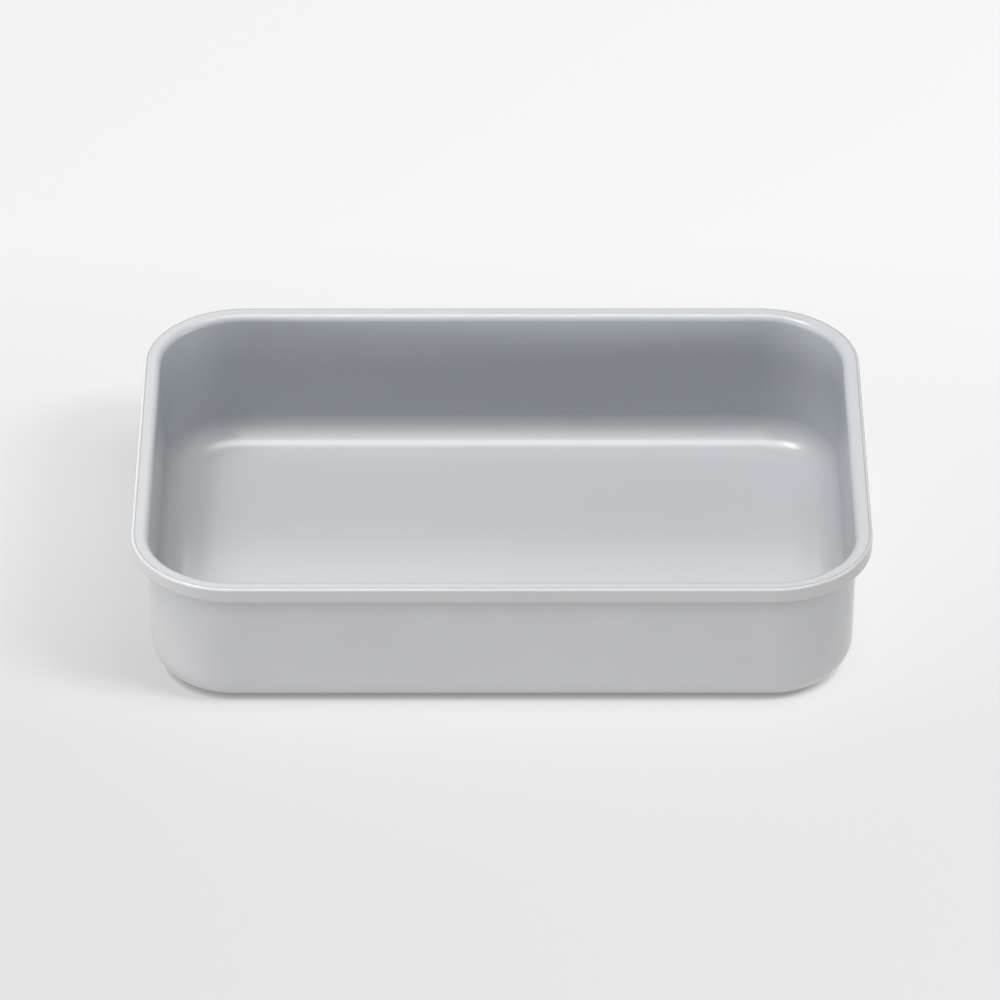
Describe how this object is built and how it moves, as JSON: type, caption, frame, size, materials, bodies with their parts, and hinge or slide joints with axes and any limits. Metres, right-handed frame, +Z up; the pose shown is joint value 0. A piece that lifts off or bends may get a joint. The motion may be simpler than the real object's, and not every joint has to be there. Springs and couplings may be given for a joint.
{
  "type": "rectangular cake pan",
  "caption": "Straight-sided rectangular baking pan with rounded corners, a large floor radius and a rolled wired rim, coated inside for release.",
  "frame": {"origin": "on the table under the middle of the pan's base", "axes": "+X along the pan's length, +Y across its width, +Z up through the open top"},
  "size_m": [0.3462, 0.2446, 0.0716],
  "materials": {
    "exterior_enamel": "satin",
    "interior_ceramic": "satin",
    "wire_steel": "satin"
  },
  "bodies": {
    "root": {"pan_body": "exterior_enamel", "interior_coating": "interior_ceramic", "rim_wire": "wire_steel"}
  },
  "joints": []
}
